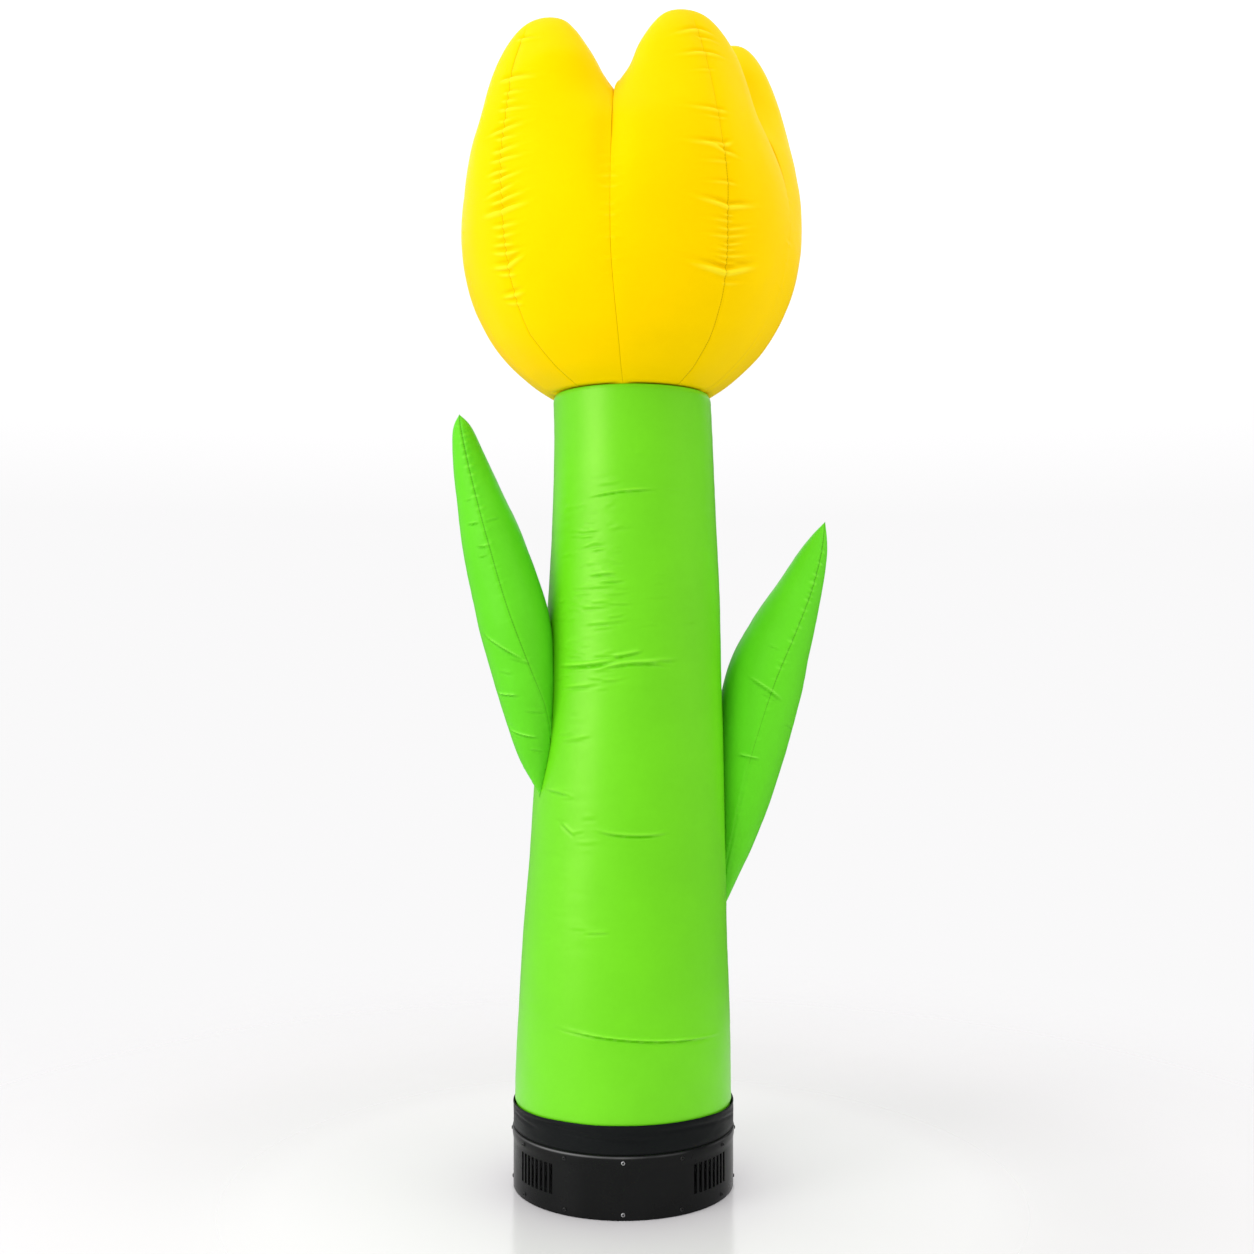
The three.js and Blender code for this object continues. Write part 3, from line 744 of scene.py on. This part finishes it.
def make_leaf(name, rows, creases, seam_rows, seam_from, seed):
    """The skin of one leaf; its front seam shows from a share of the length upwards."""
    angle = (np.arange(LEAF_SIDES) / LEAF_SIDES * 2 * math.pi)[None]
    points, tips, share, half, length = leaf_tube(rows, angle)
    # Degrees around from the front seam, which wanders, with the back seam opposite.
    seam_curve = np.polyfit(seam_rows["share"], seam_rows["deg"], 3)
    degrees = signed_degrees(np.degrees(angle) - np.polyval(seam_curve, share))
    aside = np.radians(degrees) * half
    from_back = (math.pi - np.abs(np.radians(degrees))) * half
    plain = np.radians(signed_degrees(np.degrees(angle)) + 0 * share)
    run = share * length + 0 * aside
    fold = np.zeros_like(aside)
    for row in rows_of(creases):
        at = float(np.interp((row["share0"] + row["share1"]) / 2, share[:, 0], half[:, 0]))
        start = math.radians(row["deg0"]) * at, row["share0"] * length
        end = math.radians(row["deg1"]) * at, row["share1"] * length
        fold += crease(plain * at, run, start, end, row)
    # Small gathers on both seams, more of them on the upper half of the front one.
    slim = ease(half, 0, 0.03)
    low, high = 0.05 * length, 0.97 * length
    gathers = scattered_puckers(seed, low, high, longest=13, deepest=3.2, step=0.018)
    fold += slim * (0.35 + 0.65 * ease(share, 0.45, 0.7)) * pucker_field(aside, run, gathers)
    gathers = scattered_puckers(seed + 1, low, high, longest=14, deepest=2.2, step=0.028)
    fold += slim * pucker_field(from_back, run, gathers)
    field = fold.copy()
    for distance in (aside, from_back):
        field += LEAF_RIDGE * slim * np.exp(-np.abs(distance) / LEAF_RIDGE_REACH)
        field -= LEAF_STITCH * slim * bell(distance / LEAF_STITCH_HALF)
    field += 0.7 * MM * slim * noise(degrees / 36 + 20, run / 0.07, seed + 2, wrap=10)
    field += 0.25 * MM * slim * noise(degrees / 12 + 60, run / 0.016, seed + 3, wrap=30)
    points = clear_of_stem(points + around(points) * field[..., None])
    thinner = 1 + LEAF_SEAM_THINNING * fall(share, seam_from, seam_from + LEAF_SEAM_FADE)
    cloth = np.stack([np.where(share > seam_from, aside * thinner, NO_SEAM), run, from_back], -1)
    piece = skin(f"{name}_skin", points, cloth, fold, tips)
    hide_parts(name)
    return piece


# Cuff
CUFF_COLUMNS, CUFF_ROWS = 288, 22
CUFF_RADIUS, CUFF_FOOT_RADIUS, CUFF_THICK = 0.225, 0.2243, 1.6 * MM
# How much lower the top edge of the cuff is at its sides.
CUFF_SIDE_DROP = 7 * MM


def make_cuff():
    """A sleeve of cloth with its top edge turned over; its profile runs up outside and down inside."""
    share = np.linspace(0, 1, CUFF_ROWS)[:, None] ** 0.9
    angle = (np.arange(CUFF_COLUMNS) / CUFF_COLUMNS * 2 - 1)[None] * math.pi
    z = CUFF_LOW + (CUFF_HIGH - CUFF_LOW) * share + 0 * angle
    field = np.zeros_like(z)
    for row in rows_of(CUFF_FOLDS):
        field += wrapped_crease(angle, z, CUFF_RADIUS, row)
    cells = angle / (2 * math.pi) + 0.5
    field += 0.5 * MM * noise(cells * 36, z / 0.03, CUFF_SEED, wrap=36)
    field += 0.25 * MM * noise(cells * 80, z / 0.012, CUFF_SEED + 1, wrap=80)
    body = CUFF_FOOT_RADIUS + 1.0 * MM * ease(share, 0, 0.2) + 0.5 * MM * bell((share - 0.94) / 0.07)
    outer = body + field * ease(share, 0, 0.12) * ease(1 - share, 0, 0.08)
    wave = 0.7 * MM * noise(cells * 24, 0 * cells, CUFF_SEED + 2, wrap=24)
    z = z + (wave - CUFF_SIDE_DROP * np.sin(angle) ** 4) * share
    inner = np.arange(CUFF_ROWS - 1, -1, -3)
    top, foot = outer[-1:] - 0.5 * CUFF_THICK, outer[:1] - 0.5 * CUFF_THICK
    radius = np.concatenate([outer, top, outer[inner] - CUFF_THICK, foot])
    height = np.concatenate([z, z[-1:] + 0.5 * MM, z[inner], z[:1] - 0.4 * MM])
    points = np.stack([radius * np.sin(angle), -radius * np.cos(angle), height], -1)
    number = np.arange(radius.size).reshape(radius.shape)
    after, above = np.roll(number, -1, 1), np.roll(number, -1, 0)
    quads = np.stack([number, after, np.roll(after, -1, 0), above], -1).reshape(-1, 4)
    piece = new_object("cuff_skin", points.reshape(-1, 3), quads.tolist())
    no_seam = NO_SEAM + 0 * radius
    flat = np.stack([no_seam + np.abs(angle) * CUFF_RADIUS, height, no_seam], -1)
    mark(piece, "cloth", "FLOAT_VECTOR", flat)
    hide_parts("stem_cuff")
    return piece


# Housing band: profile as radius and height (mm), up the outside and down the inside.
SLOT_LOW, SLOT_HIGH = 35, 93
BAND_PROFILE = table(
    "radius z",
    (224.2, 1), (224.8, 1.3), (225, 2), (225, 12), (225, SLOT_LOW), (225, SLOT_HIGH),
    (225, 96), (225.3, 99), (225.8, 102), (226.4, 105), (226.8, 108), (227, 111.5),
    (227, 116.8), (226.9, 118.4), (226.5, 119.9), (225.9, 121.1), (225.1, 121.8), (224.2, 122),
    (223.4, 121.8), (223, 121.2), (223, SLOT_HIGH), (223, SLOT_LOW), (223, 1.8), (223.4, 1.1),
)
# Step of the plain lines up the band, and how far they keep from the edges of slots.
BAND_STEP_DEG, CLEAR_OF_SLOT_DEG = 1.25, 0.3
VENTS_DEG = (-129.5, -50.5, 50.5, 129.5)
VENT_SLOTS, VENT_PITCH_DEG = 8, 3.4
SLOT_HALF_DEG = math.degrees(4.0 / 225)
# A highlight is painted on the rolled edge around this height, strongest around this heading.
RIM_HIGHLIGHT_Z, RIM_HIGHLIGHT_HALF, RIM_HIGHLIGHT_FROM_RADIUS = 0.1195, 1.3 * MM, 0.2255
RIM_HIGHLIGHT_DEG, RIM_HIGHLIGHT_SPREAD_DEG = -30, 34


def make_band():
    """The bent band, with its slots left open between the outer and the inner wall."""
    offsets = [(k - (VENT_SLOTS - 1) / 2) * VENT_PITCH_DEG for k in range(VENT_SLOTS)]
    middles = [vent + offset for vent in VENTS_DEG for offset in offsets]
    edges = [m + side * SLOT_HALF_DEG for m in middles for side in (-1, 1)]
    steps = np.arange(-180, 180, BAND_STEP_DEG)
    plain = [d for d in steps if min(abs(d - e) for e in edges) > CLEAR_OF_SLOT_DEG]
    lines = np.array(sorted(edges + plain))
    spans = (lines + np.append(lines[1:], lines[0] + 360)) / 2
    from_slot = np.abs(signed_degrees(spans[:, None] - np.array(middles))).min(1)
    is_open = from_slot < SLOT_HALF_DEG
    radius, z = BAND_PROFILE["radius"] * MM, BAND_PROFILE["z"] * MM
    a = np.radians(lines)[:, None]
    points = np.stack([radius * np.sin(a), -radius * np.cos(a), z + 0 * a], -1)
    rows, columns = points.shape[:2]
    number = np.arange(rows * columns).reshape(rows, columns).tolist()
    out_low, out_high, in_high, in_low = np.flatnonzero(np.isin(BAND_PROFILE["z"], (SLOT_LOW, SLOT_HIGH)))
    faces = []
    for i in range(rows):
        n = (i + 1) % rows
        here, there = number[i], number[n]
        for k in range(columns):
            m = (k + 1) % columns
            if not (is_open[i] and k in (out_low, in_high)):
                faces.append((here[k], there[k], there[m], here[m]))
        if is_open[i]:
            faces.append((here[out_low], here[in_low], there[in_low], there[out_low]))
            faces.append((here[out_high], there[out_high], there[in_high], here[in_high]))
            if not is_open[i - 1]:
                faces.append((here[out_low], here[out_high], here[in_high], here[in_low]))
            if not is_open[n]:
                faces.append((there[out_low], there[in_low], there[in_high], there[out_high]))
    piece = new_object("band_skin", points.reshape(-1, 3), faces, sharp_deg=METAL_SHARP_DEG)
    # Painted highlight along the top of the rolled edge, strongest towards the front left, with an uneven
    # strength.
    rim = bell((z - RIM_HIGHLIGHT_Z) / RIM_HIGHLIGHT_HALF) * (radius > RIM_HIGHLIGHT_FROM_RADIUS)
    highlight_strength = 0.06 + 0.45 * bell((lines - RIM_HIGHLIGHT_DEG) / RIM_HIGHLIGHT_SPREAD_DEG)
    highlight_strength = highlight_strength + 0.10 * noise(lines / 7, 0 * lines, RIM_HIGHLIGHT_SEED)
    mark(piece, "bright", "FLOAT", np.clip(highlight_strength[:, None] * rim, 0, 1))
    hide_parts("housing_band")
    return piece


# Screw head: radius and rise (mm) from the seat over the rim into the socket.
SCREW_PROFILE = table(
    "radius rise",
    (4, 0), (4, 0.5), (3.85, 1), (3.5, 1.6), (3, 2.05),
    (2.5, 2.3), (2.15, 2.38), (2, 2.3), (1.95, 1.2),
)
SCREW_SIDES, SCREWS_PER_ROW, SCREW_GAP = 24, 12, 0.1 * MM
# The row of the profile where the socket starts.
SOCKET_FROM = 7
# How bright the worn head of a screw is, by its number, and how dull the others are.
WORN_SCREWS, DULL_SCREW = {1: 1.0}, 0.06
# Rows of screws: name, height and radius of the band there.
SCREW_ROWS = (("bottom", 12 * MM, 225 * MM), ("top", 110 * MM, 227 * MM))


def make_screws():
    a = (np.arange(SCREW_SIDES) / SCREW_SIDES * 2 * math.pi)[:, None]
    radius, rise = (SCREW_PROFILE[column][:, None, None] * MM for column in ("radius", "rise"))
    up = np.array([0, 0, 1.0])
    made = []
    for row, height, seat in SCREW_ROWS:
        for k in range(SCREWS_PER_ROW):
            heading = math.radians(360 / SCREWS_PER_ROW * k)
            out = np.array([math.sin(heading), -math.cos(heading), 0])
            aside = np.array([math.cos(heading), math.sin(heading), 0])
            place = out * (seat + SCREW_GAP) + up * height
            points = place + radius * (np.cos(a) * aside + np.sin(a) * up) + rise * out
            ends = [place, place + rise[-1, 0] * out]
            piece = tube(f"screw_skin_{row}_{k + 1:02d}", points, ends, METAL_SHARP_DEG)
            bright = np.full(points.shape[:2], WORN_SCREWS.get(k + 1, DULL_SCREW))
            bright[SOCKET_FROM:] = 0
            mark(piece, "bright", "FLOAT", np.append(bright, (0, 0)))
            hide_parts(f"screw_{row}_{k + 1:02d}")
            made.append(piece)
    return made


# Materials
STITCH_STEP = 5 * MM
# Half width of a seam's dark line: full up to the first distance, gone at the second.
SEAM_LINE = 0.3 * MM, 1.7 * MM


def put(socket, value):
    """Link a socket to another one, or set it to a constant."""
    if isinstance(value, bpy.types.NodeSocket):
        socket.id_data.links.new(value, socket)
    else:
        socket.default_value = value


def feed(shader, **values):
    for key, value in values.items():
        put(shader.inputs[key.replace("_", " ")], value)


def node(tree, kind, inputs=None, **settings):
    """The outputs of a new node."""
    made = tree.nodes.new("ShaderNode" + kind)
    for key, value in settings.items():
        setattr(made, key, value)
    for key, value in (inputs or {}).items():
        put(made.inputs[key], value)
    return made.outputs


def math_node(operation, first, second=0.0):
    return node(first.id_data, "Math", {0: first, 1: second}, operation=operation)[0]


def times(first, second):
    return math_node("MULTIPLY", first, second)


def plus(first, second):
    return math_node("ADD", first, second)


def noise_node(place, scale, detail=2.0, roughness=0.5):
    inputs = {"Vector": place, "Scale": scale, "Detail": detail, "Roughness": roughness}
    return node(place.id_data, "TexNoise", inputs)["Fac"]


def ramp(factor, low, high, low_value, high_value, **settings):
    inputs = {"Value": factor, "From Min": low, "From Max": high, "To Min": low_value, "To Max": high_value}
    return node(factor.id_data, "MapRange", inputs, **settings)["Result"]


def mixed(factor, first, second):
    """A colour between two, each a socket or red, green and blue."""
    first, second = (v if isinstance(v, bpy.types.NodeSocket) else (*v, 1) for v in (first, second))
    inputs = {"Factor": factor, 6: first, 7: second}
    return node(factor.id_data, "Mix", inputs, data_type="RGBA", blend_type="MIX")[2]


def new_material(name, **values):
    material = bpy.data.materials.new(name)
    material.use_nodes = True
    tree = material.node_tree
    shader = tree.nodes["Principled BSDF"]
    feed(shader, **values)
    return material, tree, shader


def cloth_material(name, colour, deep, pale, roughness, weave_mm=1.3, weave_bump=0.25, seam_thread_and_shade=0.55,
                   crease_shade=0.25, **values):
    """Woven coated cloth: threads, slow changes of tone, a dark line on each seam from its stitches and painted
    shade of its groove, and painted shade and highlight on creases.
    """
    material, tree, shader = new_material(name, **values)
    flat = node(tree, "SeparateXYZ", {"Vector": node(tree, "Attribute", attribute_name="cloth")["Vector"]})
    turn = 2 * math.pi / (weave_mm * MM)
    weave = times(math_node("COSINE", times(flat["X"], turn)), math_node("SINE", times(flat["Y"], turn)))
    place = node(tree, "TexCoord")["Object"]
    slow = noise_node(place, 5.0, detail=3.0, roughness=0.55)
    fine = noise_node(place, 90.0, detail=4.0, roughness=0.6)
    tone = plus(ramp(slow, 0.35, 0.65, 0.0, 0.7), times(weave, 0.12))
    tone = plus(tone, ramp(fine, 0.3, 0.7, -0.1, 0.2))
    base = mixed(tone, colour, deep)
    # Each seam gets a dark dashed line: its stitches, together with painted shade of the seam's groove.
    stitch = math_node("SINE", times(flat["Y"], 2 * math.pi / STITCH_STEP))
    from_seam = math_node("MINIMUM", math_node("ABSOLUTE", flat["X"]), flat["Z"])
    line = times(ramp(from_seam, *SEAM_LINE, 0.9, 0.0), ramp(stitch, -1.0, 1.0, 0.55, 1.0))
    thread_and_shade_colour = tuple(seam_thread_and_shade * c for c in deep)
    base = mixed(line, base, thread_and_shade_colour)
    # Painted shade darkens the troughs of creases, and a painted highlight in the pale colour lightens their
    # lips.
    fold = node(tree, "Attribute", attribute_name="fold")["Fac"]
    base = mixed(ramp(fold, 0.1, 1.0, 0.0, crease_shade), base, thread_and_shade_colour)
    base = mixed(ramp(fold, -0.15, -1.0, 0.0, 0.6), base, pale)
    rough = plus(ramp(slow, 0.3, 0.7, roughness - 0.04, roughness + 0.05), times(weave, 0.03))
    height = plus(weave, times(fine, 1.5))
    bump = node(tree, "Bump", {"Height": height, "Strength": weave_bump, "Distance": 0.12 * MM})
    feed(shader, Base_Color=base, Roughness=rough, Normal=bump["Normal"])
    return material


def coat_material(name, colour, worn, roughness, grain, scale, highlight_colour=(0, 0, 0), **values):
    """Painted or moulded surface: fine grain, a slow change of tone, and a painted highlight where the bright
    attribute is set.
    """
    material, tree, shader = new_material(name, **values)
    place = node(tree, "TexCoord")["Object"]
    slow = noise_node(place, 9.0, detail=4.0, roughness=0.6)
    base = mixed(ramp(slow, 0.4, 0.7, 0.0, 1.0), colour, worn)
    # Painted highlight, in its own colour, where the bright attribute is set.
    base = mixed(node(tree, "Attribute", attribute_name="bright")["Fac"], base, highlight_colour)
    rough = ramp(slow, 0.3, 0.7, roughness - 0.05, roughness + 0.07)
    bump = node(tree, "Bump", {"Height": noise_node(place, scale), "Strength": grain, "Distance": 0.1 * MM})
    feed(shader, Base_Color=base, Roughness=rough, Normal=bump["Normal"])
    return material


def screw_material(name, black, steel):
    """Blackened steel, bright where it is worn, with a dark socket."""
    material, tree, shader = new_material(name, Metallic=0.8)
    scuffs = noise_node(node(tree, "TexCoord")["Object"], 900.0, detail=3.0)
    worn = node(tree, "Attribute", attribute_name="bright")["Fac"]
    base = mixed(times(worn, ramp(scuffs, 0.3, 0.6, 0.7, 1.0)), black, steel)
    feed(shader, Base_Color=base, Roughness=ramp(scuffs, 0.3, 0.7, 0.28, 0.42))
    return material


def floor_material(name, colour, shade, polished_to, matt_from, fade_from, fade_to):
    """Pale floor, polished around the base and matt further out, that fades out far from the middle."""
    material, tree, shader = new_material(name, Specular_IOR_Level=0.35)
    place = node(tree, "TexCoord")["Object"]
    far = node(tree, "VectorMath", {0: place}, operation="LENGTH")["Value"]
    rough = ramp(far, polished_to, matt_from, 0.16, 0.8)
    feed(shader, Base_Color=mixed(noise_node(place, 1.5), colour, shade), Roughness=rough)
    fade = ramp(far, fade_from, fade_to, 0.0, 1.0, interpolation_type="SMOOTHSTEP")
    clear = node(tree, "BsdfTransparent")[0]
    both = node(tree, "MixShader", {0: fade, 1: shader.outputs[0], 2: clear})[0]
    put(tree.nodes["Material Output"].inputs["Surface"], both)
    return material


# In each cloth, pale is the colour of the painted highlight on the lips of creases.
PETAL_CLOTH = cloth_material(
    "petal_cloth_look", colour=(0.95, 0.632, 0.0), deep=(0.92, 0.597, 0.0), pale=(1.0, 0.84, 0.03),
    roughness=0.38, crease_shade=0.16, Specular_IOR_Level=0.02, Specular_Tint=(1, 0.95, 0.1, 1),
)
STEM_CLOTH = cloth_material(
    "stem_cloth_look", colour=(0.147, 0.640, 0.008), deep=(0.129, 0.592, 0.005), pale=(0.24, 0.80, 0.03),
    roughness=0.34, crease_shade=0.16, Specular_IOR_Level=0.65, Specular_Tint=(1, 1, 0.45, 1),
)
LEAF_CLOTH = cloth_material(
    "leaf_cloth_look", colour=(0.118, 0.612, 0.016), deep=(0.103, 0.565, 0.011), pale=(0.27, 0.86, 0.07),
    roughness=0.38, seam_thread_and_shade=0.5, Specular_IOR_Level=0.15, Specular_Tint=(1, 1, 0.7, 1),
)
CUFF_CLOTH = cloth_material(
    "cuff_cloth_look", colour=(0.0070, 0.0082, 0.0084), deep=(0.0056, 0.0066, 0.0068),
    pale=(0.010, 0.011, 0.011), roughness=0.40, weave_mm=1.6, weave_bump=0.5, Specular_IOR_Level=0.08,
)
# The housing's rolled edge gets a grey painted highlight.
HOUSING = coat_material(
    "housing_look", colour=(0.0066, 0.0069, 0.0069), worn=(0.0082, 0.0085, 0.0085), roughness=0.27,
    grain=0.25, scale=900.0, highlight_colour=(0.30, 0.30, 0.30), Specular_IOR_Level=0.09,
)
PLATE = coat_material(
    "plate_look", colour=(0.010, 0.010, 0.011), worn=(0.014, 0.014, 0.015), roughness=0.75,
    grain=0.5, scale=500.0,
)
SCREW = screw_material("screw_look", black=(0.012, 0.012, 0.012), steel=(0.60, 0.60, 0.61))
FLOOR = floor_material(
    "floor_look", colour=(0.61, 0.60, 0.61), shade=(0.59, 0.58, 0.59), polished_to=0.7, matt_from=1.3,
    fade_from=0.7, fade_to=2.4,
)


# The pieces
def dress(piece, material):
    piece.data.materials.clear()
    piece.data.materials.append(material)
    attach(piece, "root")


for index, row in enumerate(rows_of(PETALS)):
    dress(make_petal(index, row), PETAL_CLOTH)
dress(make_stem(), STEM_CLOTH)
left_leaf = make_leaf("leaf_left", LEFT_LEAF, LEFT_LEAF_CREASES, LEFT_LEAF_SEAM, seam_from=0.16, seed=80)
right_leaf = make_leaf("leaf_right", RIGHT_LEAF, RIGHT_LEAF_CREASES, RIGHT_LEAF_SEAM, seam_from=0.36, seed=90)
dress(left_leaf, LEAF_CLOTH)
dress(right_leaf, LEAF_CLOTH)
dress(make_cuff(), CUFF_CLOTH)
dress(make_band(), HOUSING)
for screw in make_screws():
    dress(screw, SCREW)
for name in ("base_plate", "top_plate"):
    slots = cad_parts[name].data.materials
    for k in range(len(slots)):
        slots[k] = PLATE

# Floor, light and camera
FLOOR_HALF = 2.6
FLOOR_CORNERS = ((-1, -1), (1, -1), (1, 1), (-1, 1))
floor_points = np.array([(x * FLOOR_HALF, y * FLOOR_HALF, 0) for x, y in FLOOR_CORNERS])
floor = new_object("floor", floor_points, [(0, 1, 2, 3)])
floor.data.materials.append(FLOOR)

# The camera stands where the photo was taken from.
SENSOR_MM = 36
FOCAL_PIXELS, PHOTO_PIXELS = 1500, 1254
CAMERA_PLACE = (0.0074, -3.1103, 1.0511)
CAMERA_TILT_DEG = 91.6


def studio(level, above, front, left_gloss, right_gloss):
    """A pale room, brighter overhead and dimmer in front, with calmer reflections, most so on the right."""
    world = bpy.data.worlds.new("studio")
    world.use_nodes = True
    tree = world.node_tree
    way = node(tree, "SeparateXYZ", {"Vector": node(tree, "TexCoord")["Generated"]})
    strength = ramp(way["Z"], 0.1, 1.0, level, level + above)
    strength = times(strength, ramp(way["Y"], 0.1, -1.0, 1.0, front))
    glossy = node(tree, "LightPath")["Is Glossy Ray"]
    gloss = ramp(way["X"], -0.7, 0.3, left_gloss, right_gloss)
    back = times(ramp(way["Y"], 0.5, 0.8, 0.0, 1.0), ramp(way["Z"], 0.18, 0.26, 0.0, 1.0))
    gloss = math_node("MAXIMUM", gloss, back)
    strength = times(strength, ramp(glossy, 0.0, 1.0, 1.0, gloss))
    feed(tree.nodes["Background"], Color=(1.0, 0.995, 1.0, 1), Strength=strength)
    return world


def area_light(name, place, target, wide, tall, power, mirrored=False):
    """A soft rectangle of light; a fill isn't mirrored in glossy surfaces."""
    data = bpy.data.lights.new(name, "AREA")
    data.shape, data.size, data.size_y, data.energy = "RECTANGLE", wide, tall, power
    made = bpy.data.objects.new(name, data)
    bpy.context.collection.objects.link(made)
    made.location = place
    made.visible_glossy = mirrored
    toward = np.array(target) - np.array(place)
    level = math.hypot(toward[0], toward[1])
    made.rotation_euler = (math.atan2(level, -toward[2]), 0, math.atan2(toward[1], toward[0]) - math.pi / 2)
    return made


scene = bpy.context.scene
scene.view_settings.view_transform = "Standard"
scene.world = studio(level=0.95, above=0.93, front=0.66, left_gloss=0.45, right_gloss=0.07)
area_light("soft_box", (-2.65, -1.75, 2.1), (0, 0, 1.35), 1.5, 3.2, 50, mirrored=True)
area_light("side_fill", (2.7, -1.0, 2.0), (0, 0, 1.5), 2.0, 2.4, 16)
area_light("front_fill", (-1.1, -3.0, 0.9), (0.2, 0, 0.9), 1.2, 1.4, 17)
# The stem hides the right leaf from the soft box, so that leaf alone gets one more fill.
leaf_fill = area_light("leaf_fill", (-1.5, -2.8, 1.3), (0.3, 0, 1.0), 1.0, 1.0, 22)
leaf_fill.light_linking.receiver_collection = bpy.data.collections.new("leaf_fill_receives")
leaf_fill.light_linking.receiver_collection.objects.link(right_leaf)

camera_data = bpy.data.cameras.new("camera")
camera_data.sensor_width = SENSOR_MM
camera_data.lens = SENSOR_MM * FOCAL_PIXELS / PHOTO_PIXELS
camera = bpy.data.objects.new("camera", camera_data)
bpy.context.collection.objects.link(camera)
camera.location = CAMERA_PLACE
camera.rotation_euler = (math.radians(CAMERA_TILT_DEG), 0, 0)
scene.camera = camera
